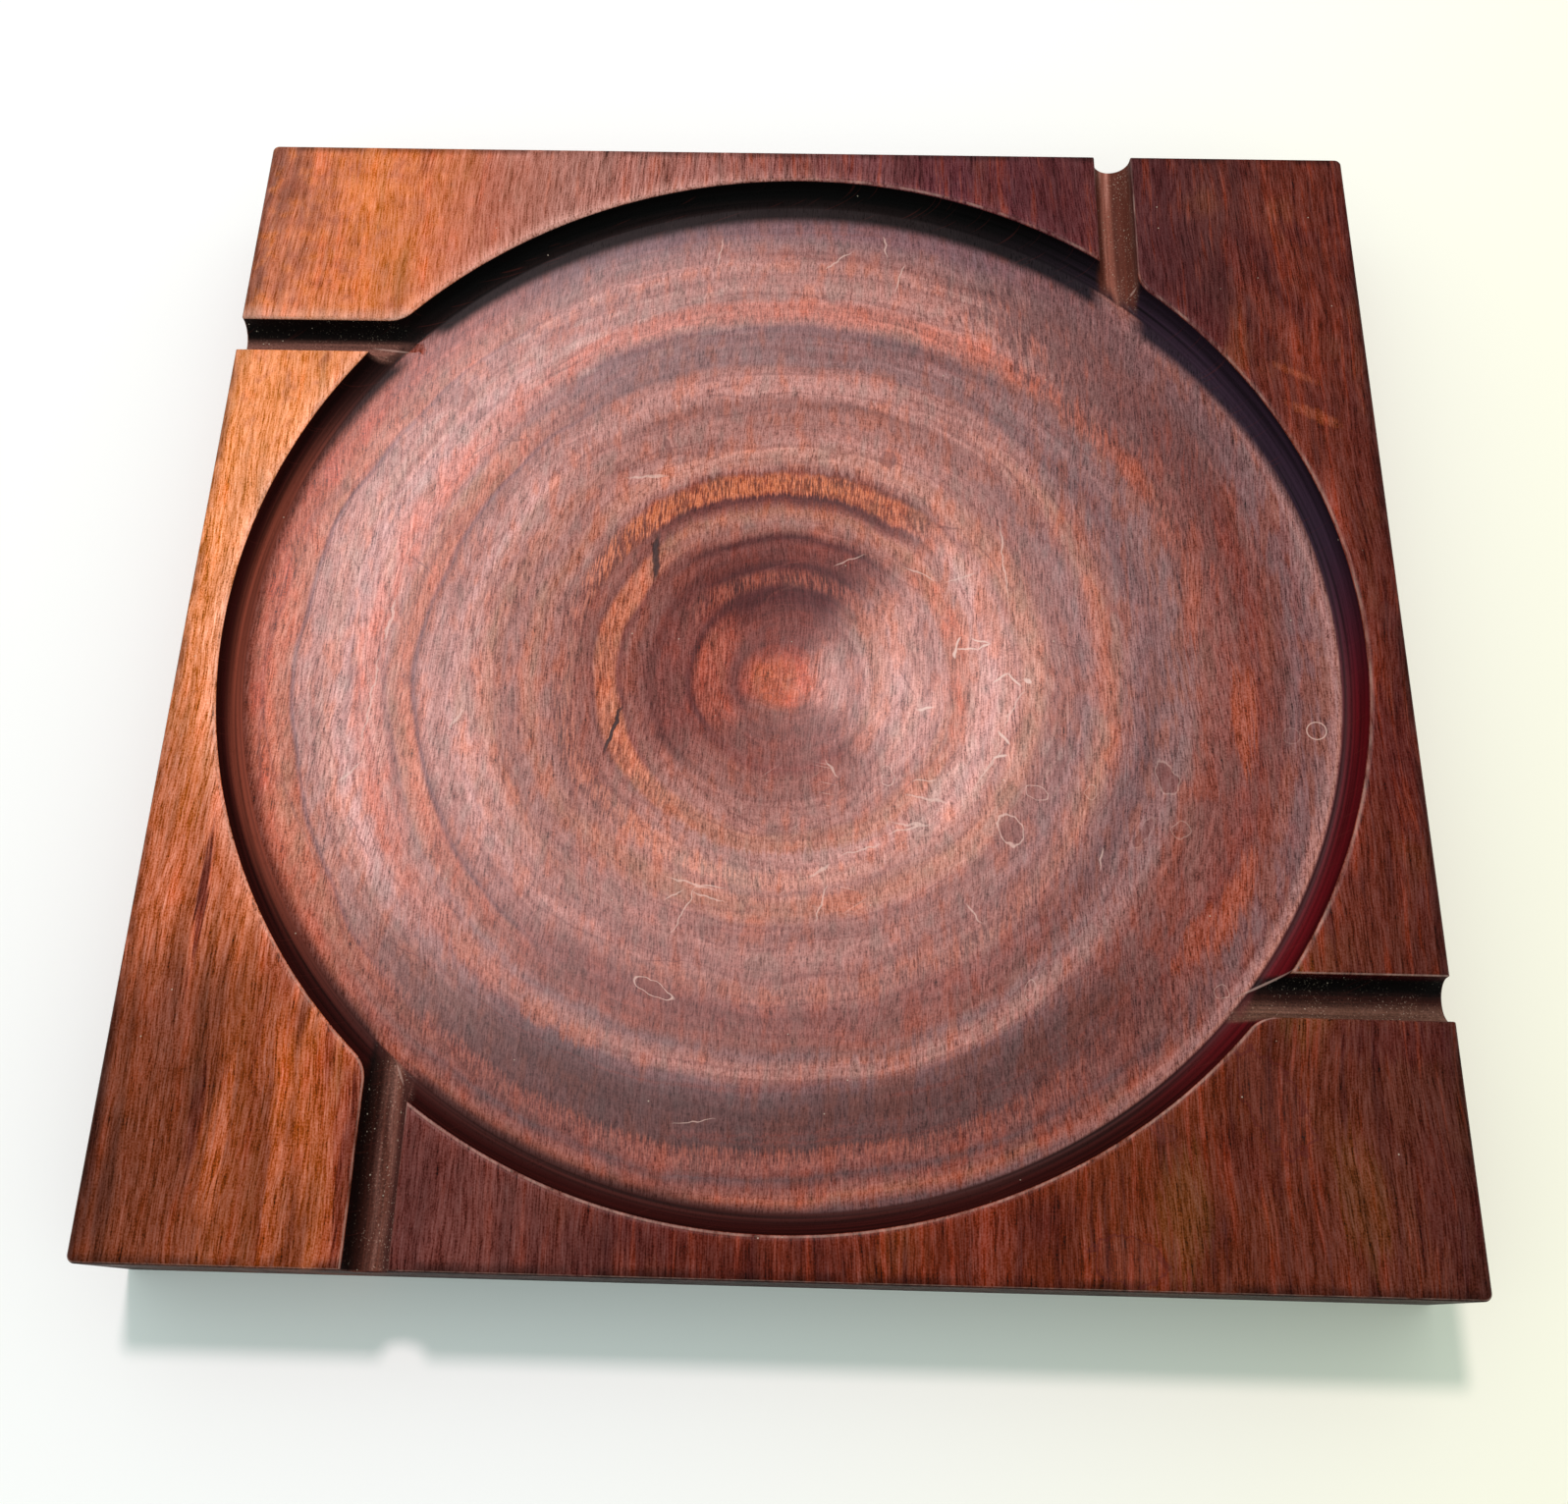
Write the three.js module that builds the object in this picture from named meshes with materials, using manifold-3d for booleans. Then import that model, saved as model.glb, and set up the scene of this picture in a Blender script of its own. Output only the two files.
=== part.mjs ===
// A square wooden tray cut from one solid blank: a round dished bowl is turned into its top, a hollow cove
// runs round the bowl's edge, and four round-bottomed grooves run in from the sides like a pinwheel.
// Millimetres, +Z up. The origin is the centre of the underside, and the sides are square to X and Y.

import * as THREE from 'three';
import { mergeVertices } from 'three/addons/utils/BufferGeometryUtils.js';
import Module from 'manifold-3d';

// The blank
const TRAY_SIDE = 250;
const TRAY_THICKNESS = 27;
const UPRIGHT_EDGE_RADIUS = 1.5;
const ARRIS_RADIUS = 0.8;

// The bowl: its wall meets the top face on the rim circle, the cove is the hollow at the foot of the wall,
// and the floor falls from the cove to the centre like a shallow funnel with a rounded middle
const RIM_RADIUS = 117;
const COVE_WIDTH = 4.3;
const COVE_DEPTH = 5.1;
const BOWL_DEPTH = 16.5;
const FLOOR_CENTRE_RADIUS = 26;

// The grooves: straight upright sides above a half-round bottom
const GROOVE_COUNT = 4;
const GROOVE_WIDTH = 8.3;
const GROOVE_DEPTH = 5.3;
const GROOVE_OFFSET = 72;

// Softened edges: the worn lip along the rim and the grooves, and the wide corner where a groove's outer
// side sweeps into the rim
const LIP_WIDTH = 1;
const LIP_DEPTH = 0.7;
const SWEEP_RADIUS = 7;

// How finely the round shapes are faceted
const ROUND_STEPS = 120;
const FLOOR_STEPS = 8;
const COVE_STEPS = 7;
const LIP_STEPS = 3;
const SWEEP_STEPS = 72;

// How far a cutter stands clear of the wood that it cuts away
const CLEAR = 3;

const QUARTER_TURN = Math.PI / 2;

const wasm = await Module();
wasm.setup();

function toSolid(geometry) {
  const bare = geometry.clone();
  bare.deleteAttribute('normal');
  bare.deleteAttribute('uv');
  const merged = mergeVertices(bare, 1e-4);
  return new wasm.Manifold(new wasm.Mesh({
    numProp: 3,
    vertProperties: new Float32Array(merged.attributes.position.array),
    triVerts: new Uint32Array(merged.index.array),
  }));
}

function toGeometry(solid) {
  const mesh = solid.getMesh();
  const geometry = new THREE.BufferGeometry();
  geometry.setAttribute('position', new THREE.BufferAttribute(mesh.vertProperties, 3));
  geometry.setIndex(new THREE.BufferAttribute(mesh.triVerts, 1));
  geometry.computeVertexNormals();
  return geometry;
}

// Points on a quarter ellipse about (cx, cy), from the angle start to the angle end
function arcPoints(cx, cy, rx, ry, start, end, steps) {
  const points = [];
  for (let i = 0; i <= steps; i += 1) {
    const angle = start + (end - start) * i / steps;
    points.push(new THREE.Vector2(cx + rx * Math.cos(angle), cy + ry * Math.sin(angle)));
  }
  return points;
}

// The worn lip's section, as distance outward from an upright face and height: off the face onto the top
function lipSection() {
  const foot = TRAY_THICKNESS - LIP_DEPTH;
  return arcPoints(LIP_WIDTH, foot, LIP_WIDTH, LIP_DEPTH, Math.PI, QUARTER_TURN, LIP_STEPS);
}

// The wall's section, told the same way: up the cove's hollow from its foot, and out over the lip
function wallSection() {
  const lipFoot = TRAY_THICKNESS - LIP_DEPTH;
  return [
    ...arcPoints(-COVE_WIDTH, lipFoot, COVE_WIDTH, COVE_DEPTH - LIP_DEPTH, -QUARTER_TURN, 0, COVE_STEPS),
    ...lipSection().slice(1),
  ];
}

// Height of the bowl's floor at a distance from the centre
function floorHeight(radius) {
  const fall = r => Math.hypot(r, FLOOR_CENTRE_RADIUS) - FLOOR_CENTRE_RADIUS;
  const share = fall(radius) / fall(RIM_RADIUS - COVE_WIDTH);
  return TRAY_THICKNESS - BOWL_DEPTH + (BOWL_DEPTH - COVE_DEPTH) * share;
}

function makeBlank() {
  const half = TRAY_SIDE / 2;
  const r = UPRIGHT_EDGE_RADIUS;
  const outline = new THREE.Shape();
  outline.moveTo(half - r, -half);
  outline.absarc(half - r, -half + r, r, -QUARTER_TURN, 0);
  outline.absarc(half - r, half - r, r, 0, QUARTER_TURN);
  outline.absarc(-half + r, half - r, r, QUARTER_TURN, 2 * QUARTER_TURN);
  outline.absarc(-half + r, -half + r, r, 2 * QUARTER_TURN, 3 * QUARTER_TURN);
  const geometry = new THREE.ExtrudeGeometry(outline, {
    depth: TRAY_THICKNESS - 2 * ARRIS_RADIUS,
    curveSegments: 4,
    bevelThickness: ARRIS_RADIUS,
    bevelSize: ARRIS_RADIUS,
    bevelOffset: -ARRIS_RADIUS,
    bevelSegments: 3,
  });
  geometry.translate(0, 0, ARRIS_RADIUS);
  return toSolid(geometry);
}

// A solid of revolution about the Z axis from a section in radius and height
function revolve(section, steps) {
  return toSolid(new THREE.LatheGeometry(section, steps).rotateX(QUARTER_TURN));
}

function makeBowlCutter() {
  const coveFoot = RIM_RADIUS - COVE_WIDTH;
  const section = [];
  for (let i = 0; i < FLOOR_STEPS; i += 1) {
    const radius = coveFoot * i / FLOOR_STEPS;
    section.push(new THREE.Vector2(radius, floorHeight(radius)));
  }
  section.push(...wallSection().map(p => new THREE.Vector2(RIM_RADIUS + p.x, p.y)));
  section.push(new THREE.Vector2(RIM_RADIUS + LIP_WIDTH, TRAY_THICKNESS + CLEAR));
  section.push(new THREE.Vector2(0, TRAY_THICKNESS + CLEAR));
  return revolve(section, ROUND_STEPS);
}

// One groove, from outside the front face to the tray's middle line, where the floor lies below it
function makeGrooveCutter() {
  const half = GROOVE_WIDTH / 2;
  const top = TRAY_THICKNESS + CLEAR;
  const bottomCentre = TRAY_THICKNESS - GROOVE_DEPTH + half;
  const rightLip = lipSection().map(p => new THREE.Vector2(half + p.x, p.y));
  const leftLip = rightLip.map(p => new THREE.Vector2(-p.x, p.y)).reverse();
  const section = new THREE.Shape([
    new THREE.Vector2(-half - LIP_WIDTH, top),
    ...leftLip,
    ...arcPoints(0, bottomCentre, half, half, Math.PI, 2 * Math.PI, 2 * COVE_STEPS),
    ...rightLip,
    new THREE.Vector2(half + LIP_WIDTH, top),
  ]);
  const depth = TRAY_SIDE / 2 + CLEAR;
  const geometry = new THREE.ExtrudeGeometry(section, { depth, bevelEnabled: false });
  geometry.rotateX(QUARTER_TURN);
  geometry.translate(-GROOVE_OFFSET, 0, 0);
  return toSolid(geometry);
}

// The rounded corner where the groove's outer side sweeps into the rim: the wall's section turned about an
// upright axis inside the wood, kept only between the groove's side and the line to the tray's centre
function makeSweepCutter() {
  const axisX = -GROOVE_OFFSET - GROOVE_WIDTH / 2 - SWEEP_RADIUS;
  const axisY = -Math.sqrt((RIM_RADIUS + SWEEP_RADIUS) ** 2 - axisX ** 2);
  const outer = SWEEP_RADIUS + COVE_WIDTH;
  const wall = wallSection().map(p => new THREE.Vector2(SWEEP_RADIUS - p.x, p.y));
  const top = TRAY_THICKNESS + CLEAR;
  const ring = revolve([
    ...wall,
    new THREE.Vector2(SWEEP_RADIUS - LIP_WIDTH, top),
    new THREE.Vector2(outer, top),
    wall[0].clone(),
  ].reverse(), SWEEP_STEPS);
  const reach = 2 * outer;
  const towardCentre = Math.atan2(-axisY, -axisX);
  const wedge = new THREE.Shape([
    new THREE.Vector2(0, 0),
    new THREE.Vector2(reach, 0),
    new THREE.Vector2(reach * Math.cos(towardCentre), reach * Math.sin(towardCentre)),
  ]);
  const depth = TRAY_THICKNESS + 2 * CLEAR;
  const side = toSolid(new THREE.ExtrudeGeometry(wedge, { depth, bevelEnabled: false }));
  return ring.intersect(side).translate([axisX, axisY, 0]);
}

function makeTray() {
  const groove = makeGrooveCutter();
  const sweep = makeSweepCutter();
  let solid = makeBlank().subtract(makeBowlCutter());
  for (let i = 0; i < GROOVE_COUNT; i += 1) {
    const turn = [0, 0, 360 * i / GROOVE_COUNT];
    solid = solid.subtract(groove.rotate(turn)).subtract(sweep.rotate(turn));
  }
  const wood = new THREE.MeshStandardMaterial({ color: 0x6b3122, roughness: 0.45, metalness: 0 });
  const mesh = new THREE.Mesh(toGeometry(solid), wood);
  mesh.name = 'tray';
  return mesh;
}

const model = new THREE.Group();
model.add(makeTray());

export default model;
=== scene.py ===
import math

import bpy
from mathutils import Matrix, Vector


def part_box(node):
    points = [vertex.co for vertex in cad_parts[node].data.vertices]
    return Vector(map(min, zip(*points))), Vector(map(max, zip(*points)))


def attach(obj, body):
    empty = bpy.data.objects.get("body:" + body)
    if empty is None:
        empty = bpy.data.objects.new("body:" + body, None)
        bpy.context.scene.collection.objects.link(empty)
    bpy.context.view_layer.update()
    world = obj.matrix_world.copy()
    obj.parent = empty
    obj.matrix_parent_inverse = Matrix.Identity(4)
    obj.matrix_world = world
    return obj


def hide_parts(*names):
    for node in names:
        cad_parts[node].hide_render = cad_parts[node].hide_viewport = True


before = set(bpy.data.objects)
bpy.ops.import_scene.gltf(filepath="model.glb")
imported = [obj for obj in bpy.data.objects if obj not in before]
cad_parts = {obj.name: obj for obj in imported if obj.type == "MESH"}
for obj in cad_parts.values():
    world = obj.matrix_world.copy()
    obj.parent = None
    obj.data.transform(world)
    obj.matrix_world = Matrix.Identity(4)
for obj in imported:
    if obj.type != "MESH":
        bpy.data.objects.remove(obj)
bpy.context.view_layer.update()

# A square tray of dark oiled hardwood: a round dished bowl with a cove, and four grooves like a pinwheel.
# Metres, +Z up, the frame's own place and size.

MM = 0.001

# The blank, from the frame
TRAY_LOW, TRAY_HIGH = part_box("tray")
SIDE = TRAY_HIGH.x - TRAY_LOW.x
HALF = SIDE / 2
TOP = TRAY_HIGH.z
UPRIGHT_EDGE_RADIUS = 1.5 * MM
ARRIS_RADIUS = 0.8 * MM

# The bowl
RIM_RADIUS = 117 * MM
COVE_WIDTH = 4.3 * MM
COVE_DEPTH = 5.1 * MM
BOWL_DEPTH = 16.5 * MM
FLOOR_CENTRE_RADIUS = 26 * MM
COVE_FOOT = RIM_RADIUS - COVE_WIDTH

# The grooves
GROOVE_WIDTH = 8.3 * MM
GROOVE_DEPTH = 5.3 * MM
GROOVE_OFFSET = 72 * MM
GROOVE_HALF = GROOVE_WIDTH / 2
GROOVE_BED = TOP - GROOVE_DEPTH + GROOVE_HALF

# Worn edges
LIP_DEPTH = 0.7 * MM
RIM_LIP_WIDTH = 1.4 * MM
GROOVE_LIP_WIDTH = 0.8 * MM
MOUTH_FLARE = 0.5 * MM
SWEEP_RADIUS = 7 * MM

# How finely the round shapes are cut
TURN_STEPS = 480
FLOOR_STEPS = 40
COVE_STEPS = 16
LIP_STEPS = 12
SWEEP_STEPS = 20
FLARE_STEPS = 5
UPRIGHT_EDGE_STEPS = 12
ARRIS_STEPS = 8
SMOOTH_ANGLE = math.radians(14)

# How far a cutter stands clear of the wood, and how near two points are when they are taken as one
CLEAR = 3 * MM
SAME_POINT = 0.001 * MM
SAME_POINT_AFTER_CUTS = 0.002 * MM

QUARTER_TURN = math.pi / 2


# Modelling helpers

def only(piece):
    """Selects one object and nothing else, in object mode."""
    bpy.ops.object.select_all(action="DESELECT")
    piece.select_set(True)
    bpy.context.view_layer.objects.active = piece


def edit_all(piece):
    """Opens the piece in edit mode with all of it selected."""
    only(piece)
    bpy.ops.object.mode_set(mode="EDIT")
    bpy.ops.mesh.select_all(action="SELECT")


def end_edit():
    """Goes back to object mode."""
    bpy.ops.object.mode_set(mode="OBJECT")


def settle(piece):
    """Applies the object's place to its mesh."""
    only(piece)
    bpy.ops.object.transform_apply(location=True, rotation=True, scale=True)


def pick_edges(piece, test):
    """Selects in edit mode the edges whose two ends pass the test."""
    bpy.context.tool_settings.mesh_select_mode = (False, True, False)
    bpy.ops.object.mode_set(mode="EDIT")
    bpy.ops.mesh.select_all(action="DESELECT")
    end_edit()
    for edge in piece.data.edges:
        a, b = (piece.data.vertices[v].co for v in edge.vertices)
        edge.select = test(a, b)
    bpy.ops.object.mode_set(mode="EDIT")


def arc(cx, cz, rx, rz, start, end, steps):
    """Points on an elliptical arc in the XZ plane, about (cx, cz)."""
    points = []
    for i in range(steps + 1):
        angle = start + (end - start) * i / steps
        points.append((cx + rx * math.cos(angle), cz + rz * math.sin(angle)))
    return points


def outline(name, points, filled):
    """A flat loop in the XZ plane: a circle whose points are moved onto the outline."""
    bpy.ops.object.select_all(action="DESELECT")
    fill = "NGON" if filled else "NOTHING"
    bpy.ops.mesh.primitive_circle_add(vertices=len(points), radius=1, fill_type=fill)
    loop = bpy.context.object
    loop.name = name
    for vertex, (x, z) in zip(loop.data.vertices, points):
        vertex.co = (x, 0, z)
    return loop


def close_up(piece):
    """Merges the seams of a new solid and turns its faces outward."""
    edit_all(piece)
    bpy.ops.mesh.remove_doubles(threshold=SAME_POINT)
    bpy.ops.mesh.normals_make_consistent(inside=False)
    end_edit()


def carve(piece, cutter):
    """Cuts the cutter's space out of the piece and removes the cutter."""
    only(piece)
    cut = piece.modifiers.new("cut", "BOOLEAN")
    cut.operation = "DIFFERENCE"
    cut.solver = "EXACT"
    cut.object = cutter
    bpy.ops.object.modifier_apply(modifier=cut.name)
    bpy.data.objects.remove(cutter)


def quarter_copies(piece):
    """The piece and its three copies round the tray, joined."""
    copies = [piece]
    for i in range(1, 4):
        copy = piece.copy()
        copy.data = piece.data.copy()
        copy.data.transform(Matrix.Rotation(i * QUARTER_TURN, 4, "Z"))
        bpy.context.scene.collection.objects.link(copy)
        copies.append(copy)
    bpy.ops.object.select_all(action="DESELECT")
    for copy in copies:
        copy.select_set(True)
    bpy.context.view_layer.objects.active = piece
    bpy.ops.object.join()
    return piece


# The tray

def cove_section():
    """The hollow wall, from its foot up to the lip, as distance out from the upright face and height."""
    lip_foot = TOP - LIP_DEPTH
    return arc(-COVE_WIDTH, lip_foot, COVE_WIDTH, COVE_DEPTH - LIP_DEPTH, -QUARTER_TURN, 0, COVE_STEPS)


def groove_section():
    """Half a groove, from its bed up to the lip, told like the cove's section."""
    half_round = arc(-GROOVE_HALF, GROOVE_BED, GROOVE_HALF, GROOVE_HALF, -QUARTER_TURN, 0, COVE_STEPS - 1)
    return half_round + [(0, TOP - LIP_DEPTH)]


def lip_section(width):
    """The worn edge, from the wall's top out onto the face."""
    return arc(width, TOP - LIP_DEPTH, width, LIP_DEPTH, math.pi, QUARTER_TURN, LIP_STEPS)[1:]


def floor_height(radius):
    """Height of the bowl's floor at a distance from the centre."""
    def fall(r):
        return math.hypot(r, FLOOR_CENTRE_RADIUS) - FLOOR_CENTRE_RADIUS
    share = fall(radius) / fall(COVE_FOOT)
    return TOP - BOWL_DEPTH + (BOWL_DEPTH - COVE_DEPTH) * share


def make_blank():
    """The square block with softened edges."""
    bpy.ops.object.select_all(action="DESELECT")
    bpy.ops.mesh.primitive_cube_add(size=1, location=(0, 0, TOP / 2), scale=(SIDE, SIDE, TOP))
    block = bpy.context.object
    block.name = "tray_body"
    settle(block)
    pick_edges(block, lambda a, b: abs(a.z - b.z) > TOP / 2)
    bpy.ops.mesh.bevel(offset=UPRIGHT_EDGE_RADIUS, segments=UPRIGHT_EDGE_STEPS, affect="EDGES")
    end_edit()
    pick_edges(block, lambda a, b: abs(a.z - b.z) < SAME_POINT)
    bpy.ops.mesh.bevel(offset=ARRIS_RADIUS, segments=ARRIS_STEPS, affect="EDGES")
    end_edit()
    return block


def make_bowl_cutter():
    """The turned hollow: its section spun round the tray's upright axis."""
    section = []
    for i in range(FLOOR_STEPS):
        radius = COVE_FOOT * i / FLOOR_STEPS
        section.append((radius, floor_height(radius)))
    wall = cove_section() + lip_section(RIM_LIP_WIDTH)
    section += [(RIM_RADIUS + out, height) for out, height in wall]
    section.append((RIM_RADIUS + RIM_LIP_WIDTH, TOP + CLEAR))
    section.append((0, TOP + CLEAR))
    cutter = outline("bowl_cutter", section, filled=False)
    only(cutter)
    pick_edges(cutter, lambda a, b: max(a.x, b.x) < SAME_POINT)
    bpy.ops.mesh.delete(type="EDGE")
    bpy.ops.mesh.select_all(action="SELECT")
    bpy.ops.mesh.spin(steps=TURN_STEPS, angle=2 * math.pi, center=(0, 0, 0), axis=(0, 0, 1))
    end_edit()
    close_up(cutter)
    return cutter


def make_groove_cutters():
    """One groove drawn from the bowl out through the front face, flared where it leaves, and its copies."""
    side = groove_section() + lip_section(GROOVE_LIP_WIDTH)
    right = [(GROOVE_HALF + out, height) for out, height in side]
    right.append((GROOVE_HALF + GROOVE_LIP_WIDTH, TOP + CLEAR))
    left = [(-x, z) for x, z in reversed(right)]
    points = [(x - GROOVE_OFFSET, z) for x, z in left[:-1] + right]
    cutter = outline("groove_cutter", points, filled=True)
    cutter.data.transform(Matrix.Translation((0, -HALF / 2, 0)))
    pivot = Vector((-GROOVE_OFFSET, -HALF, GROOVE_BED))
    stations = [(-HALF + MOUTH_FLARE, 0)]
    for i in range(1, FLARE_STEPS + 1):
        angle = QUARTER_TURN * i / FLARE_STEPS
        stations.append((-HALF + MOUTH_FLARE * (1 - math.sin(angle)), MOUTH_FLARE * (1 - math.cos(angle))))
    stations.append((-HALF - CLEAR, MOUTH_FLARE))
    edit_all(cutter)
    y, flare = -HALF / 2, 0
    for next_y, next_flare in stations:
        move = {"value": (0, next_y - y, 0)}
        bpy.ops.mesh.extrude_region_move(TRANSFORM_OT_translate=move)
        grow = (GROOVE_HALF + next_flare) / (GROOVE_HALF + flare)
        bpy.ops.transform.resize(value=(grow, 1, grow), center_override=pivot)
        y, flare = next_y, next_flare
    end_edit()
    close_up(cutter)
    return quarter_copies(cutter)


def make_sweep_cutters():
    """The wide corner where a groove's outer side sweeps into the rim: the wall's section spun about an
    upright axis in the wood, changing from the groove's section to the cove's on the way."""
    axis_x = -GROOVE_OFFSET - GROOVE_HALF - SWEEP_RADIUS
    axis_y = -math.sqrt((RIM_RADIUS + SWEEP_RADIUS) ** 2 - axis_x ** 2)
    turn = math.atan2(-axis_y, -axis_x)
    at_groove = groove_section() + lip_section(GROOVE_LIP_WIDTH)
    at_rim = cove_section() + lip_section(RIM_LIP_WIDTH)
    for ends in (at_groove, at_rim):
        ends.append((ends[-1][0], TOP + CLEAR))
        ends.append((-COVE_WIDTH, TOP + CLEAR))
    cutter = outline("sweep_cutter", at_groove, filled=True)
    count = len(at_groove)
    edit_all(cutter)
    bpy.ops.mesh.spin(steps=SWEEP_STEPS, angle=turn, center=(0, 0, 0), axis=(0, 0, 1))
    end_edit()
    for i, vertex in enumerate(cutter.data.vertices):
        station, k = divmod(i, count)
        angle = turn * station / SWEEP_STEPS
        part = station / SWEEP_STEPS
        out = at_groove[k][0] * (1 - part) + at_rim[k][0] * part
        height = at_groove[k][1] * (1 - part) + at_rim[k][1] * part
        reach = SWEEP_RADIUS - out
        vertex.co = (axis_x + reach * math.cos(angle), axis_y + reach * math.sin(angle), height)
    close_up(cutter)
    return quarter_copies(cutter)


def make_tray():
    """The blank with the bowl, the grooves and the sweeps cut out of it, smoothly shaded."""
    tray = make_blank()
    carve(tray, make_bowl_cutter())
    carve(tray, make_groove_cutters())
    carve(tray, make_sweep_cutters())
    edit_all(tray)
    bpy.ops.mesh.remove_doubles(threshold=SAME_POINT_AFTER_CUTS)
    end_edit()
    bpy.ops.object.shade_smooth_by_angle(angle=SMOOTH_ANGLE)
    even = tray.modifiers.new("even", "WEIGHTED_NORMAL")
    even.keep_sharp = True
    even.weight = 50
    bpy.ops.object.modifier_apply(modifier=even.name)
    return tray


# Finishes

def paint(red, green, blue):
    """A colour given as it shows on a screen, 0 to 255, for a shader socket."""
    def linear(level):
        level /= 255
        return level / 12.92 if level <= 0.04045 else ((level + 0.055) / 1.055) ** 2.4
    return (linear(red), linear(green), linear(blue), 1.0)


class Flow:
    """A number, vector or colour inside a finish. Arithmetic on numbers adds Math nodes."""

    def __init__(self, finish, socket):
        self.finish = finish
        self.socket = socket

    def __add__(self, other):
        return self.finish.math("ADD", self, other)

    def __sub__(self, other):
        return self.finish.math("SUBTRACT", self, other)

    def __rsub__(self, other):
        return self.finish.math("SUBTRACT", other, self)

    def __mul__(self, other):
        return self.finish.math("MULTIPLY", self, other)

    def __truediv__(self, other):
        return self.finish.math("DIVIDE", self, other)

    def __pow__(self, other):
        return self.finish.math("POWER", self, other)

    def __abs__(self):
        return self.finish.math("ABSOLUTE", self)

    __radd__ = __add__
    __rmul__ = __mul__


class Finish:
    """A material, built from Object coordinates to its shader."""

    def __init__(self, name):
        self.material = bpy.data.materials.new(name)
        self.material.use_nodes = True
        self.tree = self.material.node_tree
        self.shader = self.tree.nodes["Principled BSDF"]
        self.spot = self.node("ShaderNodeTexCoord", {}, {}, "Object")

    def put(self, socket, value):
        """Links a Flow to a socket, or sets a plain value on it."""
        if isinstance(value, Flow):
            self.tree.links.new(value.socket, socket)
        else:
            socket.default_value = value

    def node(self, kind, settings, values, output=0):
        """Adds a node: its settings first, then the values or links of its sockets."""
        node = self.tree.nodes.new(kind)
        for name, value in settings.items():
            if name == "stops":
                bands = node.color_ramp.elements
                while len(bands) < len(value):
                    bands.new(1.0)
                for band, (position, colour) in zip(bands, value):
                    band.position = position
                    band.color = colour
            else:
                setattr(node, name, value)
        for name, value in values.items():
            self.put(node.inputs[name], value)
        return Flow(self, node.outputs[output])

    def feed(self, **values):
        """Gives the shader's sockets their values, Base_Color for Base Color."""
        for name, value in values.items():
            self.put(self.shader.inputs[name.replace("_", " ")], value)

    def math(self, operation, *values):
        return self.node("ShaderNodeMath", {"operation": operation}, dict(enumerate(values)))

    def vector(self, x, y, z):
        return self.node("ShaderNodeCombineXYZ", {}, {0: x, 1: y, 2: z})

    def split(self, vector):
        first = self.node("ShaderNodeSeparateXYZ", {}, {0: vector})
        return [Flow(self, socket) for socket in first.socket.node.outputs]

    def line(self, x, across, y, up, start):
        """start + across * x + up * y, in two nodes."""
        return self.math("MULTIPLY_ADD", x, across, self.math("MULTIPLY_ADD", y, up, start))

    def rise(self, value, low, high):
        """0 below low, 1 above high and smooth between."""
        settings = {"interpolation_type": "SMOOTHSTEP"}
        return self.node("ShaderNodeMapRange", settings, {0: value, 1: low, 2: high, 3: 0.0, 4: 1.0})

    def fall(self, value, low, high):
        """1 below low, 0 above high and smooth between."""
        settings = {"interpolation_type": "SMOOTHSTEP"}
        return self.node("ShaderNodeMapRange", settings, {0: value, 1: low, 2: high, 3: 1.0, 4: 0.0})

    def mix(self, part, under, over, way="MIX"):
        """The colour under, with a part of the colour over laid on it."""
        settings = {"data_type": "RGBA", "blend_type": way}
        return self.node("ShaderNodeMix", settings, {0: part, 6: under, 7: over}, 2)

    def shade(self, colour, level, strength=1.0):
        """The colour times a number, and its strength of hue times another."""
        values = {"Color": colour, "Value": level, "Saturation": strength}
        return self.node("ShaderNodeHueSaturation", {}, values)

    def ramp(self, value, stops):
        """The colour that a value between 0 and 1 has among the stops."""
        return self.node("ShaderNodeValToRGB", {"stops": stops}, {0: value})

    def noise(self, vector, detail=2.0, roughness=0.5):
        """Noise between 0 and 1, one grain to each unit of the vector."""
        values = {"Vector": vector, "Scale": 1.0, "Detail": detail, "Roughness": roughness}
        return self.node("ShaderNodeTexNoise", {}, values)

    def reach(self, x, y, centre, turn, size):
        """The square of the distance from a mark's centre, in shares of its half length and half width."""
        cos = math.cos(math.radians(turn))
        sin = math.sin(math.radians(turn))
        along = centre[0] * cos + centre[1] * sin
        aside = centre[1] * cos - centre[0] * sin
        u = self.line(x, cos / size[0], y, sin / size[0], -along / size[0])
        v = self.line(x, -sin / size[1], y, cos / size[1], -aside / size[1])
        return self.math("MULTIPLY_ADD", u, u, v * v)


# The wood's colours

EMBER = paint(178, 82, 50)
FIRE = paint(158, 76, 48)
BLAZE = paint(204, 108, 60)
ORANGE = paint(184, 103, 76)
RUST = paint(154, 70, 52)
TAN = paint(172, 108, 88)
CORAL = paint(190, 114, 98)
SALMON = paint(190, 127, 112)
PINK = paint(196, 138, 130)
ROSE = paint(176, 118, 108)
MAUVE = paint(160, 103, 93)
DUSK = paint(148, 92, 83)
BROWN = paint(138, 78, 67)
WINE = paint(126, 69, 61)
PLUM = paint(118, 56, 48)
DARK = paint(100, 42, 35)
INK = paint(76, 20, 18)
UMBER = paint(120, 78, 77)
GREY = paint(136, 92, 89)
ASH = paint(104, 67, 66)
COAL = paint(93, 55, 52)
VEIN = paint(112, 72, 76)
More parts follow.
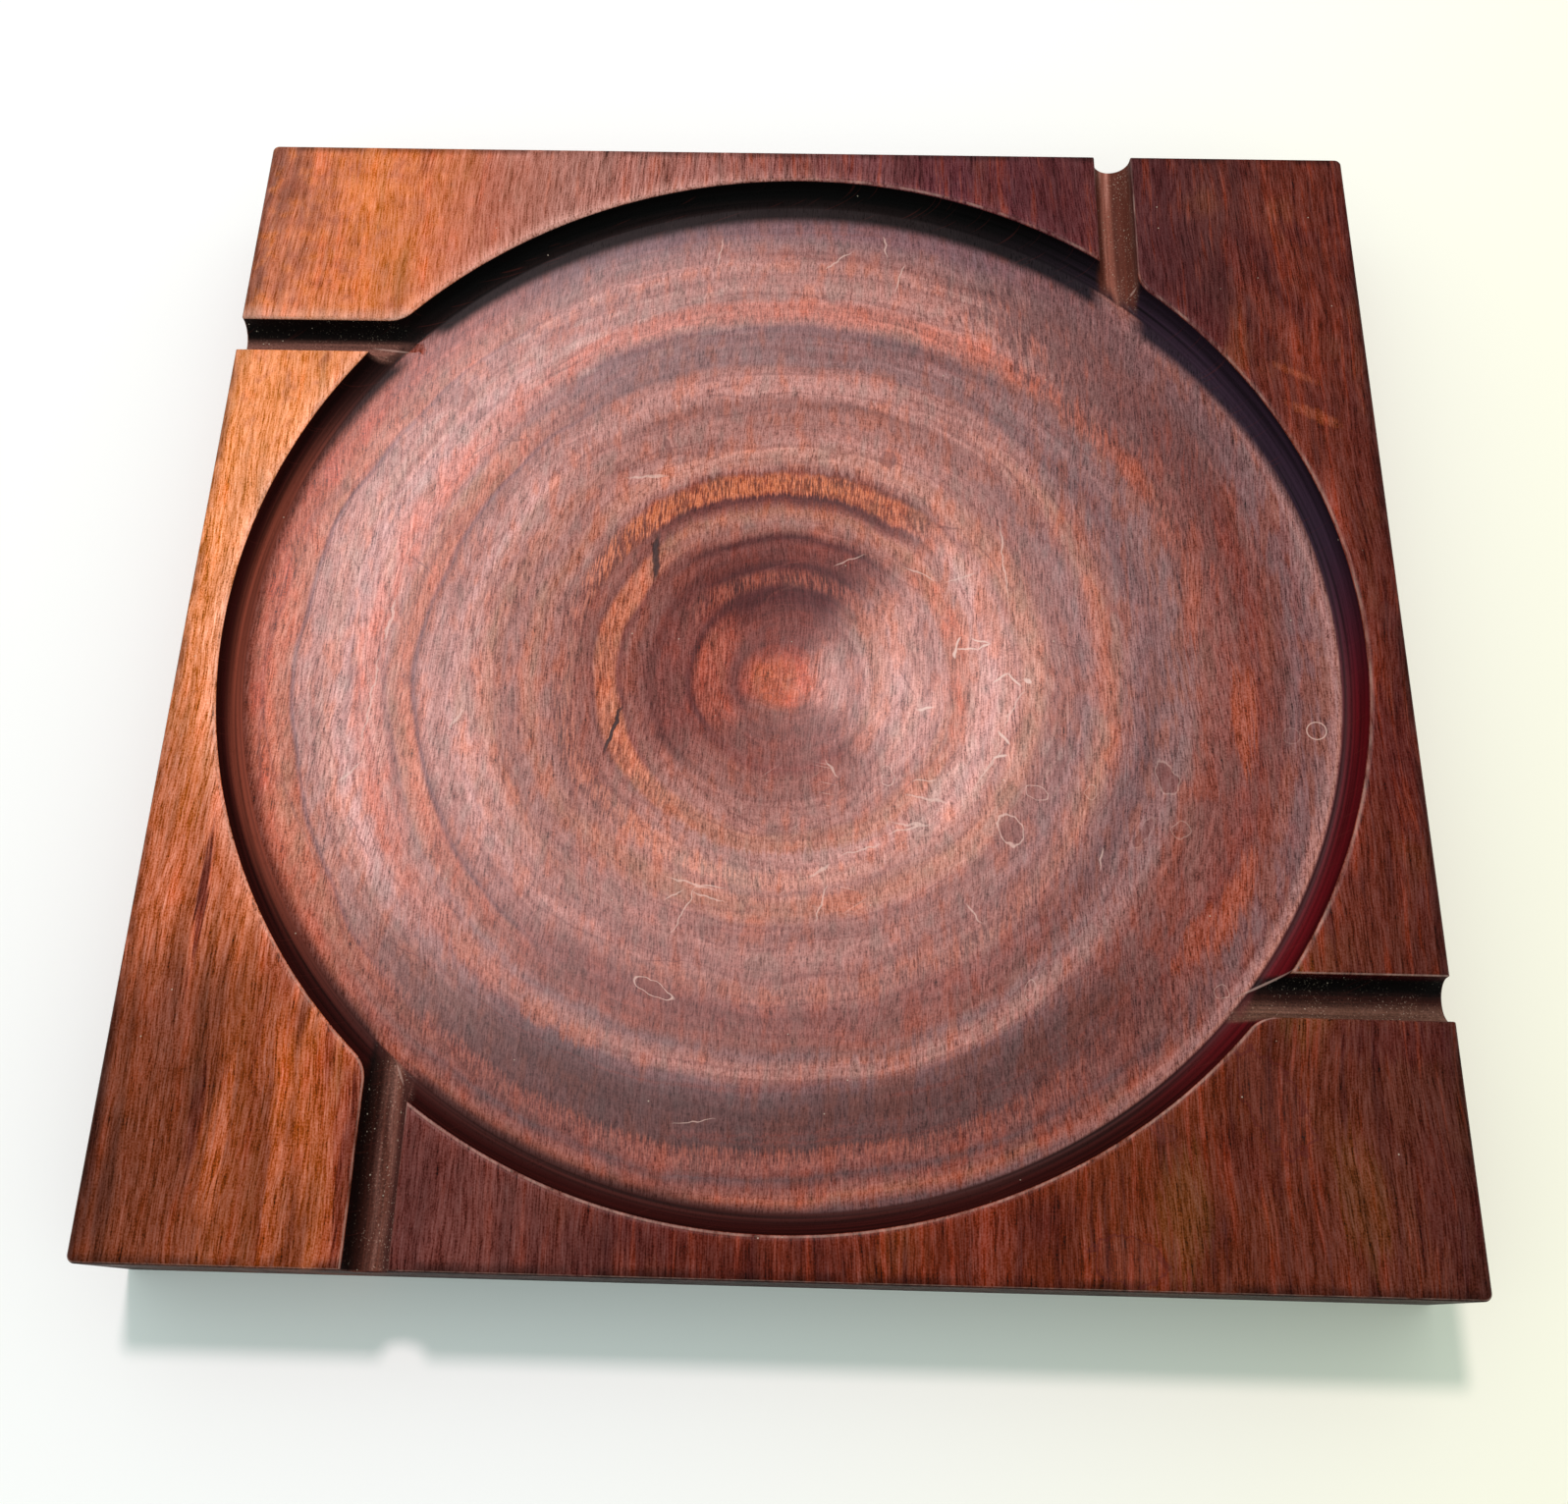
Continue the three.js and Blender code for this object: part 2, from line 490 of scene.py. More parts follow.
# Cove and groove tones. The near-black one is painted shade at the back of the cove and on the grooves'
# unlit sides, and grime on the top's outer edge. The dark violet is the hue of a painted reflection. The
# cove foot's brown is also painted shade in the front groove. The groove dust colour also paints light on
# the left groove's lit strip.
COVE_SOIL_AND_SHADE = paint(68, 36, 32)
COVE_AMBER = paint(112, 52, 38)
COVE_PLUM = paint(80, 42, 46)
COVE_SHADE = paint(44, 10, 8)
COVE_RED = paint(82, 9, 16)
COVE_REFLECTION_VIOLET = paint(40, 26, 38)
SHADE_AND_GRIME = paint(5, 4, 4)
GROOVE_BROWN = paint(100, 58, 47)
GROOVE_DUST_AND_LIGHT = paint(126, 84, 73)
GROOVE_SHADE = paint(52, 22, 15)
GROOVE_OLIVE = paint(92, 67, 54)
HONEY = paint(192, 101, 66)
PEACH = paint(236, 146, 94)
AMBER = paint(216, 122, 66)
CLAY = paint(160, 86, 66)
OLIVE = paint(104, 54, 28)
UMBER_GOLD = paint(128, 76, 40)
MAROON = paint(80, 27, 27)
RUSSET = paint(126, 54, 29)
# A pale tone for wax, scratches and stain outlines. It is also used for painted highlights on edges and
# ridges and for painted sheen on the floor.
BLOOM_AND_HIGHLIGHT = paint(226, 190, 176)
DUST = paint(196, 180, 160)
CRACK = paint(40, 26, 28)

# Tints that the wood's colour is multiplied by, where it turns warmer or greyer
WARM = (1.12, 0.86, 0.68, 1.0)
COOL = (0.84, 0.99, 1.0, 1.0)

# The growth rings that the dished floor shows, by distance from their middle, toward the four sides. Each
# side is told in two halves, which meet at RING_BREAK.
# The pale inner rings on the right also hold part of the floor's sheen, painted in as colour.
RIGHT_RINGS = (
    ((0, EMBER), (5, EMBER), (7, CORAL), (11, ROSE), (15, MAUVE), (16.6, DUSK), (17.6, ROSE), (20, TAN),
     (22, SALMON), (25, PINK), (28, SALMON), (31, ROSE), (34.4, ROSE), (36, ORANGE), (38.6, ORANGE),
     (40, SALMON), (44.5, PINK), (47.5, SALMON), (49.5, ROSE), (51.5, TAN), (55, TAN), (57.6, DUSK)),
    ((58, DUSK), (64.5, GREY), (66.5, DUSK), (70, TAN), (72, DUSK), (74.4, GREY), (75.8, UMBER),
     (78.5, UMBER), (80.5, GREY), (85, GREY), (88.5, BROWN), (91.5, WINE), (95, WINE), (99.5, PLUM),
     (103, WINE), (106.5, UMBER), (110, UMBER), (112, GREY), (115, GREY)),
)
BACK_RINGS = (
    ((0, EMBER), (4, EMBER), (6, RUST), (8.6, PLUM), (13, PLUM), (15.5, DARK), (18.2, INK), (20.4, INK),
     (21.4, DARK), (24.6, DARK), (26, INK), (27.6, DARK), (31.0, PLUM), (32.8, INK), (34.4, BROWN),
     (36.4, MAUVE), (39, TAN), (40.4, BROWN), (41.6, DARK), (42.8, INK), (43.8, FIRE), (48, FIRE),
     (49.2, WINE), (50.2, MAUVE), (52, SALMON), (54.5, SALMON), (56.6, ROSE), (57.8, MAUVE)),
    ((58, MAUVE), (63, MAUVE), (66.4, DUSK), (68, ROSE), (72, ROSE), (74.6, MAUVE), (76, GREY),
     (80, GREY), (84.6, UMBER), (86, MAUVE), (87.6, CORAL), (90.4, CORAL), (92, ROSE), (97, MAUVE),
     (100.5, ROSE), (102.5, DUSK), (106.5, GREY), (109, VEIN), (112, VEIN)),
)
LEFT_RINGS = (
    ((0, EMBER), (5.4, EMBER), (7.4, RUST), (9.8, DARK), (11, PLUM), (13.0, RUST), (18.0, RUST),
     (19.6, INK), (20.8, PLUM), (25.6, PLUM), (28.2, DARK), (29.8, WINE), (33, BROWN), (34.4, PLUM),
     (35.6, ORANGE), (39.2, ORANGE), (40.1, WINE), (41.4, BROWN), (44.5, BROWN), (48, DUSK), (50, MAUVE),
     (53, TAN), (55.8, MAUVE), (57.6, MAUVE)),
    ((58, MAUVE), (61, TAN), (64.6, ROSE), (66.6, SALMON), (68.2, PINK), (70, ROSE), (73.4, ROSE),
     (75.2, MAUVE), (75.9, VEIN), (76.8, ORANGE), (79, ORANGE), (81.2, TAN), (82.2, MAUVE), (84, CORAL),
     (88, CORAL), (90, PINK), (92.6, PINK), (94.6, SALMON), (98, ROSE), (100.5, ROSE), (101.2, VEIN),
     (102, ORANGE), (105.5, ORANGE), (107, EMBER), (112, EMBER)),
)
FRONT_RINGS = (
    ((0, EMBER), (5, EMBER), (8, BROWN), (12, WINE), (18, WINE), (20.6, PLUM), (22.4, BROWN), (27, DUSK),
     (31, MAUVE), (34, MAUVE), (36, TAN), (38.6, TAN), (40, ROSE), (42.6, ROSE), (44.5, SALMON),
     (46.6, SALMON), (48.2, MAUVE), (51, TAN), (53.4, TAN), (56, MAUVE), (57.8, DUSK)),
    ((58, DUSK), (61.5, MAUVE), (64.4, DUSK), (66, DUSK), (68.5, MAUVE), (71, DUSK), (73.2, WINE),
     (76, WINE), (80, BROWN), (82.2, GREY), (84, MAUVE), (86.6, MAUVE), (88.3, UMBER), (90, ASH),
     (92.5, COAL), (99.6, COAL), (101.2, WINE), (104.2, WINE), (105.2, ASH), (106.4, WINE),
     (107.4, BROWN), (108.8, CLAY), (109.8, BROWN), (111.0, ASH)),
)
RING_BREAK = 58
RING_SPAN = 116
RINGS_CENTRE = (-2.0, -2.6)
# Rings where the cut runs across the fibres and shows them as bright bristles: from, to, how strongly, the
# direction that they face, as shares of x and y, and their colour
BRISTLES = (
    (43.6, 49.2, 0.85, -0.25, 0.97, BLAZE), (21.4, 25.4, 0.42, -0.1, 0.99, EMBER),
    (86, 91.5, 0.34, 0.45, 0.89, EMBER), (99.8, 104.2, 0.34, -0.2, -0.98, FIRE),
    (44, 49, 0.3, -0.7, -0.71, BLAZE), (68, 72, 0.25, 0.55, -0.83, ORANGE),
    (13, 19.4, 0.3, -0.95, 0.05, EMBER), (35, 40, 0.42, -0.92, -0.25, BLAZE),
)

# The flat lands round the bowl, from the left side to the right, at the back and at the front
BACK_LANDS = (
    (-125, paint(146, 86, 68)), (-112, paint(196, 112, 78)), (-98, paint(206, 116, 72)),
    (-84, paint(200, 112, 74)), (-72, paint(180, 105, 84)), (-57, paint(173, 114, 101)),
    (-36, paint(165, 104, 93)), (-15, paint(154, 95, 86)), (8, paint(120, 66, 65)),
    (33, paint(88, 40, 46)), (60, paint(87, 38, 40)), (80, paint(80, 36, 36)), (95, paint(82, 38, 34)),
    (110, paint(102, 41, 28)), (120, paint(92, 35, 24)), (125, paint(82, 33, 27)),
)
FRONT_LANDS = (
    (-125, paint(88, 42, 28)), (-118, paint(112, 54, 33)), (-108, paint(122, 58, 35)),
    (-100, paint(144, 70, 38)), (-92, paint(126, 59, 35)), (-85, paint(170, 86, 48)),
    (-79, paint(162, 78, 47)), (-70, paint(98, 49, 44)), (-50, paint(100, 51, 45)),
    (-30, paint(88, 39, 32)), (-5, paint(86, 29, 17)), (15, paint(98, 34, 17)), (40, paint(98, 34, 14)),
    (65, paint(102, 42, 19)), (90, paint(92, 38, 23)), (108, paint(94, 42, 28)), (125, paint(72, 32, 24)),
)
LAND_SPAN = 250

# Marks, in millimetres on the plan: two ends and a width
PALE_SCRATCHES = (
    (24, -29, 33, -31, 0.5), (25.5, -26, 30.5, -26, 0.35), (22, -35.5, 30, -36, 0.5),
    (20, -38, 30, -35.3, 0.4), (5, -47.5, 9, -44.5, 0.6), (8.7, -48, 6, -58, 0.3),
    (-17, -48.5, -23, -62, 0.3), (-25, -48, -13, -51, 0.3), (-20, -49.5, -12, -50.2, 0.35),
    (-19, -51, -11.5, -53.5, 0.3), (-24, -53, -20, -51, 0.3), (7.5, -21, 10.5, -25.5, 0.4),
    (44.8, 37, 46.5, 13, 0.35), (33, 20, 40, 22, 0.4), (24, 24, 32, 20, 0.3), (8.5, 24, 16, 27, 0.3),
    (-38, 43.5, -28, 44.5, 0.5), (19.2, 105.5, 19.9, 100, 0.45), (24, 99, 21.5, 90.5, 0.35),
    (12, 102, 5.5, 97, 0.35), (-18.3, 105, -19.3, 97, 0.3), (-84.2, 12, -86, 0, 0.5),
    (-86, 0, -87.5, -25, 0.4), (-91, -31.5, -87, -27, 0.6), (-70.8, -19, -67.5, -13, 0.45),
    (-20, -97.5, -11, -96.2, 0.2), (36, -53, 39, -57, 0.4),
    (62.5, -46, 63.5, -41, 0.4), (45, -18, 38, -28, 0.5), (49.5, -5, 44, -15, 0.35),
    (10, -43, 20, -40, 0.35),
)
WAX_CRUMBS = (
    (35, 2.5, 35, 4.8, 0.6), (35.2, 4.4, 40, 3.8, 0.45), (40, 3.8, 42.2, 5.4, 0.45),
    (42.2, 5.4, 38.5, 6.8, 0.4), (35, 4.5, 36.3, 7, 0.5), (43, -3.6, 45.8, -2, 0.6),
    (45.8, -2, 48.8, -4.6, 0.5), (49.6, -3.2, 50.2, -3.8, 0.6), (26.6, -9.8, 30, -9.4, 0.6),
    (43.6, -15, 45.6, -18, 0.6), (42.6, -21, 44.8, -20.4, 0.6),
)
# Painted highlights on the lit ridges at the grooves' inner ends
TIP_HIGHLIGHTS = (
    (85.1, -72.0, 97.2, -66.6, 0.4), (-96.5, 72.1, -86.4, 70.8, 0.5), (-71.7, -88.0, -69.8, -92.0, 0.4),
    (75.2, 88.9, 75.9, 89.7, 0.5),
)
DARK_SCRATCHES = (
    (-35.3, -10, -38.4, -22, 0.6), (-68.5, 9.5, -67, 2, 0.5), (-67, 2, -64.5, -7, 0.3),
    (-83, 21.5, -77, 17, 0.35), (-67, 51, -59, 51, 0.35), (-67, 50.5, -74, 44.5, 0.35),
    (-89, 53, -85, 57.5, 0.35), (-98.5, 28, -96, 34, 0.35), (-95, 21, -92.8, 16.5, 0.3),
    (30, 33.5, 38, 32.5, 0.35), (-27, -12, -21, -15, 0.3), (55.5, 5, 63, 3, 0.25),
    (12, -24, 6, -30, 0.4), (13, -26, 10, -31, 0.3), (82, 4, 83.2, -0.5, 0.35),
    (-15, -32, -2, -38.5, 0.3), (22, 3, 27, -8, 0.3), (62, -35, 66, -30, 0.3), (-30, -66, -17, -66, 0.25),
    (40.5, -69, 45, -73, 0.3), (52, -78, 58, -83, 0.3), (66, -97, 71, -99, 0.4), (104, 101, 108, 100, 0.5),
    (-80, -62, -69, -68, 0.3), (-88, -38, -82, -48, 0.3),
)
# Marks with an outline: centre, turn, half sizes, paleness of the outline, darkness inside
STAINS = (
    (45.5, -37, 20, 2.3, 3.6, 0.75, 0.3), (51, -29, 60, 1.3, 2.6, 0.6, 0.05),
    (76.8, -26, 10, 2, 3.8, 0.3, 0.4), (71.5, -38, -35, 1.1, 3.9, 0.15, 0.4),
    (79, -37.5, 0, 1.8, 1.7, 0.3, 0), (61.8, -29, 0, 1.2, 1.6, 0.4, 0),
    (20.7, -25, 15, 1.2, 2.3, 0.6, 0.1), (-25, -71.5, 62, 1.3, 4.6, 0.85, 0.35),
    (47.7, -70.5, -15, 0.9, 2.2, 0.5, 0), (20.5, 49.5, 30, 1.9, 2.1, 0, 0.5),
    (107, -16.5, 0, 1.9, 1.9, 0.9, 0), (102, -17.5, 0, 1.7, 1.7, 0.15, 0.1),
    (83.5, -70.5, 0, 1.4, 1.5, 0.4, 0), (54, 33, 0, 0.7, 0.7, 0, 0.6),
    (-75, 61, 0, 3.2, 3.6, 0, 0.25), (-29, 52, 20, 0.8, 2.2, 0, 0.5),
)
LAND_STAINS = (
    (90, -92, 25, 5, 10), (62, -120, 80, 4, 6.5), (69.5, -97.5, 60, 1.6, 2.4), (122, 7, 0, 1.6, 3.4),
)
# The splits in the floor: two ends and a width
SPLITS = ((-30, 30.5, -30.1, 19, 1.3), (-35.4, -10, -38.4, -22, 0.7))
# Flames and streaks in the wood: centre, turn, half width, half length, strength and colour
FLOOR_FLAMES = (
    (-71, -57, 30, 4.5, 6, 0.45, CORAL), (-62, -64, 30, 2.8, 5, 0.5, ORANGE),
    (-46, -77, 60, 2.6, 4.2, 0.5, ORANGE), (-38, -81, 75, 2.4, 5, 0.5, ORANGE),
    (-70, 2, -4, 2.2, 12, 0.45, PINK), (42, 11, 12, 2.6, 8, 0.5, ORANGE),
    (66, -2, 4, 2, 22, 0.3, EMBER), (85, 16, -4, 1.9, 17, 0.5, EMBER),
    (93, -14, -3, 3, 13, 0.55, EMBER), (100, -30, -14, 1.8, 12, 0.4, FIRE),
    (74, 45, 28, 2.4, 8, 0.45, EMBER), (88, -52, -26, 3, 13, 0.48, EMBER),
    (80, -60, -34, 2.6, 9, 0.4, EMBER), (99, 2, -6, 1.8, 12, 0.35, FIRE),
    (68, 70, -44, 40, 13, 0.62, ASH), (52, 86, -30, 24, 9, 0.3, ASH), (76, 8, -2, 3, 26, 0.3, GREY),
    (86, 34, -2, 5, 26, 0.3, COAL), (101, -6, 0, 2.8, 34, 0.35, COAL),
    (60, -84, 34, 30, 6, 0.42, COAL), (52, -46, 44, 22, 6, 0.32, GREY),
)
LAND_FLAMES = (
    (-100, 112, 8, 7, 15, 0.5, AMBER), (-93, 91, -10, 6, 12, 0.5, AMBER),
    (-72, 112, 0, 4, 14, 0.3, CLAY), (104, 84, 24, 3.5, 22, 0.32, RUST),
    (112, 55, 62, 1.6, 7, 0.28, HONEY), (108, 66, 62, 1.2, 6, 0.22, HONEY),
    (-101, -104, -2, 2.2, 17, 0.65, HONEY), (-89, -112, 2, 2.6, 12, 0.6, HONEY),
    (-94, -84, 0, 2.4, 12, 0.4, HONEY), (-79, -98, 0, 2.2, 12, 0.6, RUST),
    (-114, -82, 0, 4.5, 11, 0.35, CLAY), (-117, -20, 0, 4, 24, 0.35, AMBER),
    (-96, -70, 30, 3, 9, 0.35, RUST), (72, -112, -8, 5, 12, 0.4, UMBER_GOLD),
    (97, -74, 0, 6, 9, 0.35, UMBER_GOLD), (104, -108, 8, 5, 12, 0.3, UMBER_GOLD),
    (38, -118, 0, 5, 9, 0.35, RUST), (-111.5, -57, 0, 1.2, 16, 0.85, MAROON),
    (-106, -100, 0, 1.4, 10, 0.45, MAROON), (-83, -84, 4, 1.4, 10, 0.4, MAROON),
    (112, 104, 60, 3, 8, 0.45, MAROON), (92, 78, 20, 4, 8, 0.5, MAROON),
    (118, -108, 0, 5, 16, 0.25, MAROON), (84, -104, 20, 4, 10, 0.3, MAROON),
    (30, 121, 0, 10, 4, 0.3, MAROON), (-22, -118, 0, 8, 6, 0.3, MAROON),
    (-88, 121, 4, 2, 5, 0.4, CLAY), (112, -80, 0, 14, 5, 0.45, MAROON),
    (113, 32, 0, 5, 12, 0.35, RUST), (118, -22, 0, 6, 15, 0.35, MAROON),
    (102, 97, 0, 8, 9, 0.45, MAROON), (-77.4, -104, 0, 1.4, 24, 0.6, MAROON),
)

# Noise drawn out along the grain: the width and length of its threads, the seed that sets it apart, and its
# detail where that isn't the usual
BROAD_GRAIN = (3.0, 55, 5.3)
MIDDLE_GRAIN = (0.95, 16, 17.9)
FINE_GRAIN = (0.42, 8, 29.3)
HAIR_GRAIN = (0.25, 3.2, 35.1, 1.0)
PORE_GRAIN = (0.30, 1.8, 41.7, 1.0)
# Slower noise that runs straight, told in the same way
LONG_DRIFT = (42, 60, 3.1, 1.0)
SHORT_DRIFT = (14, 22, 11.7, 1.0)
MOTTLE = (5.5, 9, 23.1, 3.0)
LONG_WAVER = (48, 62, 51.3)
SHORT_WAVER = (15, 22, 61.9)
HUE_PATCHES = (2.2, 8, 37.3, 1.0)
FLAMES = (13, 26, 71.1, 3.0)
FIGURE = (3.4, 4.6, 19.3, 3.0)
STAIN_EDGES = (2.2, 2.8, 81.3, 1.0)
HOLLOWS = (7, 16, 91.7, 1.0)

# Sides of the bowl: the direction that each lies in, as shares of x and y, and how near to it a place is
# where the side fades in and where it is full, 1 being straight toward it
BACK_SIDE = (-0.17, 0.98, 0.42, 0.88)
RIGHT_SIDE = (0.99, -0.12, 0.62, 0.93)
FRONT_SIDE = (-0.10, -0.99, 0.30, 0.80)
LEFT_SIDE = (-0.97, -0.10, 0.72, 0.95)
BACK_RIGHT_SIDE = (0.80, 0.60, 0.72, 0.94)
DARKER_FOOT_SIDE = (0.35, 0.94, -0.10, 0.85)
LIGHTER_FOOT_SIDE = (0.90, -0.43, 0.20, 0.80)
STREAKY_SIDE = (0.95, -0.30, -0.10, 0.70)
WAXED_SHEEN_SIDE = (-0.90, 0.43, 0.20, 0.90)
RIDGE_SIDE = (1.00, 0.00, 0.30, 0.90)
RIM_SHEEN_SIDE = (-0.90, 0.45, 0.15, 0.95)

# Distances from the middle: the rings with toothed edges, the ring of wax wisps and painted sheen, the
# painted highlight and the coral line at the floor's end
LONG_TEETH_AT = 45
SHORT_TEETH_AT = 98
WAXED_SHEEN_AT = 92
RIDGE_AT = 111.6
CORAL_LINE_AT = 112.8
# A patch of wax wisps and painted sheen, and a patch of rubbed floor: centre, turn and half sizes
SHEEN_SMEAR = ((42, -20), -30, (22, 34))
RUB = ((12, -36), 0, (50, 26))

# The tray's sizes in the finish's own unit
TOP_MM = TOP / MM
HALF_MM = HALF / MM
GROOVE_MM = GROOVE_OFFSET / MM


class Hardwood(Finish):
    """Dark oiled hardwood with its grain along Y, told in millimetres from the tray's middle."""

    def __init__(self):
        super().__init__("hardwood")
        self.x, self.y, self.z = (part / MM for part in self.split(self.spot))
        self.radius = (self.x * self.x + self.y * self.y) ** 0.5
        self.drift = self.soft(*LONG_DRIFT)
        self.across = self.x + self.drift * 9 + self.soft(*SHORT_DRIFT) * 2
        self.broad = self.grain(*BROAD_GRAIN)
        self.middle = self.grain(*MIDDLE_GRAIN)
        self.fine = self.grain(*FINE_GRAIN)
        self.hair = self.grain(*HAIR_GRAIN)
        self.pores = self.rise(self.grain(*PORE_GRAIN), 0.13, 0.23)
        self.grit = self.noise(self.spot_at(0.38), 1.0) - 0.5
        self.mottle = self.soft(*MOTTLE)

        # The outer faces, the flat top, and the hollow of the cove and the grooves
        edge = self.math("MAXIMUM", abs(self.x), abs(self.y))
        self.outside = self.rise(edge, HALF_MM - 0.4, HALF_MM - 0.15)
        self.rim_grime = self.rise(edge, HALF_MM - 2.6, HALF_MM - 0.6)
        self.high = self.rise(self.z, TOP_MM - 1.3, TOP_MM - 0.5)
        below_lip = self.fall(self.z, TOP_MM - 0.75, TOP_MM - 0.5) * (1.0 - self.outside)
        in_groove = self.rise(self.z, TOP_MM - 5.2, TOP_MM - 4.4)
        in_cove = self.rise(self.radius, 112.7, 113.4)
        self.hollow = self.math("MAXIMUM", in_groove, in_cove) * below_lip

        # Place among the growth rings
        out_x = self.x - RINGS_CENTRE[0]
        out_y = self.y - RINGS_CENTRE[1]
        self.out = (out_x * out_x + out_y * out_y) ** 0.5
        self.aim_x = out_x / self.out
        self.aim_y = out_y / self.out
        self.back = self.toward(*BACK_SIDE)
        self.right = self.toward(*RIGHT_SIDE)

        # Place across the nearest groove, from its lit side to the side that faces away from the light, and
        # which groove that is. The grooves stand like a pinwheel, so half of the eight places have none.
        off_x = self.math("SIGN", self.x) * (abs(self.x) - GROOVE_MM)
        off_y = self.math("SIGN", self.y) * (abs(self.y) - GROOVE_MM)
        self.sideways = self.math("GREATER_THAN", abs(self.x), abs(self.y))
        self.off = off_y * self.sideways - off_x * (1.0 - self.sideways)
        grooved = abs(self.sideways - self.math("GREATER_THAN", self.x * self.y, 0.0))
        self.lane = self.fall(abs(self.off), 3.6, 5.0) * grooved
        self.at_left = self.math("LESS_THAN", self.x, 0.0) * self.sideways
        self.at_right = self.sideways - self.at_left
        self.at_back = self.math("GREATER_THAN", self.y, 0.0) * (1.0 - self.sideways)
        self.at_front = self.math("LESS_THAN", self.y, 0.0) * (1.0 - self.sideways)

        # The edge of each groove that gets no painted highlight line, and the soft painted highlight band
        # behind the left groove
        unhighlighted_side = self.math("LESS_THAN", self.off * (1.0 - self.at_back * 2.0), 0.0)
        unhighlighted_edge = self.fall(abs(self.off), 5.2, 6.4) * grooved * unhighlighted_side
        self.unhighlighted_edge = unhighlighted_edge * self.rise(self.radius, 119, 121)
        self.soft_highlight_band = self.fall(self.off, 4.4, 8.0) * grooved * self.at_left * (1.0 - unhighlighted_side)

        # Darkening at the floor's outer end, partly dirt and partly painted shade under the cove wall:
        # wider at the back, narrower at the front right and by the grooves
        dark_foot_reach = self.radius + self.toward(*DARKER_FOOT_SIDE) * 2.0 - self.toward(*LIGHTER_FOOT_SIDE) * 2.6
        lighter_foot_lane = self.fall(abs(self.off), 1.5, 6.5) * grooved * 0.8
        self.dirt_and_shade = self.rise(dark_foot_reach, 110.0, 113.0) * (1.0 - self.high) * (1.0 - lighter_foot_lane)

    def soft(self, width, length, seed, detail=2.0):
        """Slow noise that doesn't follow the grain."""
        spot = self.vector(self.x / width + seed, self.y / length, self.z / width)
        return self.noise(spot, detail) - 0.5

    def grain(self, width, length, seed, detail=2.0):
        """Noise drawn out along the grain."""
        spot = self.vector(self.across / width + seed, self.y / length, self.z / width)
        return self.noise(spot, detail) - 0.5

    def spot_at(self, size):
        """The place in grains of a size."""
        return self.vector(self.x / size, self.y / size, self.z / size)

    def hatch(self, turn, seed):
        """Fine straight scratches that run one way."""
        cos = math.cos(math.radians(turn))
        sin = math.sin(math.radians(turn))
        along = self.line(self.x, cos / 9, self.y, sin / 9, 0.0)
        aside = self.line(self.x, -sin / 0.34, self.y, cos / 0.34, seed)
        return self.rise(self.noise(self.vector(along, aside, seed), 0.0), 0.72, 0.82)

    def toward(self, x, y, low, high):
        """1 on the side of the rings' centre that a direction points to."""
        return self.rise(self.line(self.aim_x, x, self.aim_y, y, 0.0), low, high)

    def layered(self, colour, *layers):
        """The colour with others laid on it in turn, each told as how much of it and which."""
        for part, tint in layers:
            colour = self.mix(part, colour, tint)
        return colour

    def tinted(self, colour, spots, ragged):
        """Soft streaks and flames: centre, turn, half sizes, strength and colour."""
        for cx, cy, turn, wide, long, strength, tint in spots:
            reach = self.reach(self.x, self.y, (cx, cy), turn, (wide, long))
            colour = self.mix(self.fall(reach + ragged, 0.1, 1.25) * strength, colour, tint)
        return colour

    def strokes(self, x, y, ends):
        """One mask of thin tapered strokes."""
        nearest = None
        for x0, y0, x1, y1, width in ends:
            centre = ((x0 + x1) / 2, (y0 + y1) / 2)
            turn = math.degrees(math.atan2(y1 - y0, x1 - x0))
            size = (math.hypot(x1 - x0, y1 - y0) / 2 + width, width * 0.7)
            stroke = self.reach(x, y, centre, turn, size)
            nearest = stroke if nearest is None else self.math("MINIMUM", nearest, stroke)
        return self.fall(nearest, 0.2, 1.0)

    def growth_rings(self):
        """The floor's rings, whose edges wave, and end in teeth where the cut runs across the fibres."""
        toothed = self.fall(abs(self.out - LONG_TEETH_AT), 5, 10) * 0.75
        toothed = toothed + self.fall(abs(self.out - SHORT_TEETH_AT), 3, 7) * 0.3
        teeth = self.middle * 1.8 + self.fine * 3.2 + self.hair * 1.6
        fray = teeth * self.aim_y * self.aim_y * (0.25 + toothed)
        waver = self.soft(*LONG_WAVER) * 5 + self.soft(*SHORT_WAVER) * 3.2 + fray
        ring = self.out + waver * self.rise(self.out, 0, 24)
        beyond = self.math("GREATER_THAN", ring, RING_BREAK)
        sides = []
        for halves in (RIGHT_RINGS, LEFT_RINGS, BACK_RINGS, FRONT_RINGS):
            inner, outer = (
                self.ramp(ring / RING_SPAN, [(radius / RING_SPAN, tint) for radius, tint in half])
                for half in halves
            )
            sides.append(self.mix(beyond, inner, outer))
        right, left, back, front = sides
        sway = self.drift * 0.9
        x_sides = self.mix(self.rise(self.aim_x + sway, -0.7, 0.7), left, right)
        y_sides = self.mix(self.rise(self.aim_y + sway, -0.7, 0.7), front, back)
        turn = abs(self.aim_y) - abs(self.aim_x) + sway
        tone = self.mix(self.rise(turn, -0.5, 0.5), x_sides, y_sides)
        layers = self.noise(self.vector(ring / 1.7, self.aim_x * 1.5, self.aim_y * 1.5)) - 0.5
        courses = self.noise(self.vector(ring / 5.2, self.aim_x * 1.3, self.aim_y * 1.3), 1.0) - 0.5
        tone = self.shade(tone, 1.03 + layers * 0.7 + courses * 0.65)
        tone = self.mix(self.fall(abs(courses), 0.002, 0.026) * 0.38, tone, PLUM)
        streaky = (self.middle * 0.9 + self.broad) * self.toward(*STREAKY_SIDE) * self.rise(ring, 55, 75)
        tone = self.shade(tone, 1.0 - streaky * 0.5)
